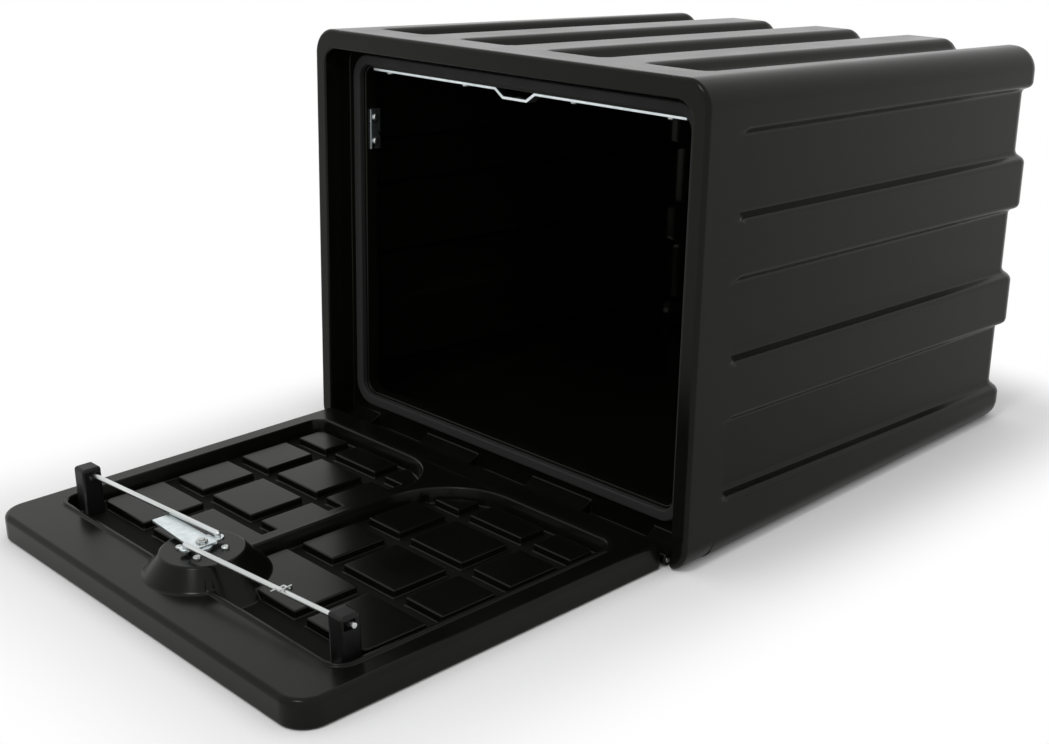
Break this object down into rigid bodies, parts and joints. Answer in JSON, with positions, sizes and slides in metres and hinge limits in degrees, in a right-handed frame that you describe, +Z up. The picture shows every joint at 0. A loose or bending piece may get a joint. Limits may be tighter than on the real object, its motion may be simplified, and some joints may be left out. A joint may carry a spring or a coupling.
{
  "type": "tool case",
  "caption": "Drop-door tool case: a ribbed black moulded case with its front door open on the table and a three-point latch on the door's inner side.",
  "frame": {"origin": "on the table, in the middle of the case's flat base", "axes": "+X to the right seen from the front, -Y out of the case's front towards the open door's free end, +Z up from the table"},
  "size_m": [0.4998, 0.8968, 0.4031],
  "materials": {
    "shell_plastic": "fine moulded grain",
    "seal_rubber": "matte",
    "zinc_plate": "zinc plated",
    "screw_steel": "zinc plated",
    "rod_steel": "drawn, zinc plated",
    "guide_plastic": "satin",
    "handle_black": "satin powder coat",
    "lock_brass": "nickel plated"
  },
  "bodies": {
    "case": {"case_shell": "shell_plastic", "front_frame": "shell_plastic", "door_seal": "seal_rubber", "roof_strip": "zinc_plate", "roof_strip_screws": "screw_steel", "keeper_left": "zinc_plate", "keeper_right": "zinc_plate", "keeper_screws": "screw_steel", "stay_screw": "screw_steel", "hinge_rod": "rod_steel"},
    "door": {"door_outer": "shell_plastic", "door_inner": "shell_plastic", "lock_housing": "handle_black", "lock_screws": "screw_steel", "guide_left": "guide_plastic", "guide_right": "guide_plastic", "guide_screws": "screw_steel"},
    "latch": {"t_handle": "handle_black", "spindle": "rod_steel", "spacer": "zinc_plate", "cam_plate": "zinc_plate", "spindle_nut": "screw_steel"},
    "lock_barrel": {"lock_plug": "lock_brass"},
    "left_rod": {"rod_left": "rod_steel"},
    "right_rod": {"rod_right": "rod_steel", "rod_clip": "screw_steel"}
  },
  "joints": [
    {"name": "door_hinge", "type": "hinge", "parent": "case", "child": "door", "pos_m": [0, -0.2501, 0.0058], "axis": [-1, 0, 0], "range_deg": [0, 92.6]},
    {"name": "handle_turn", "type": "hinge", "parent": "door", "child": "latch", "pos_m": [0, -0.5535, 0.03], "axis": [0, 0, 1], "range_deg": [0, 90]},
    {"name": "key_turn", "type": "hinge", "parent": "latch", "child": "lock_barrel", "pos_m": [0, -0.5535, 0.006], "axis": [0, 0, 1], "range_deg": [0, 90]},
    {"name": "left_rod_pivot", "type": "hinge", "parent": "latch", "child": "left_rod", "pos_m": [0, -0.5385, 0.046], "axis": [0, 0, 1], "range_deg": [-94.7, 0]},
    {"name": "right_rod_pivot", "type": "hinge", "parent": "latch", "child": "right_rod", "pos_m": [0, -0.5685, 0.046], "axis": [0, 0, 1], "range_deg": [-94.7, 0]}
  ],
  "couplings": [
    {"joint": "left_rod_pivot", "follows": "handle_turn", "ratio": -1.051},
    {"joint": "right_rod_pivot", "follows": "handle_turn", "ratio": -1.05}
  ]
}
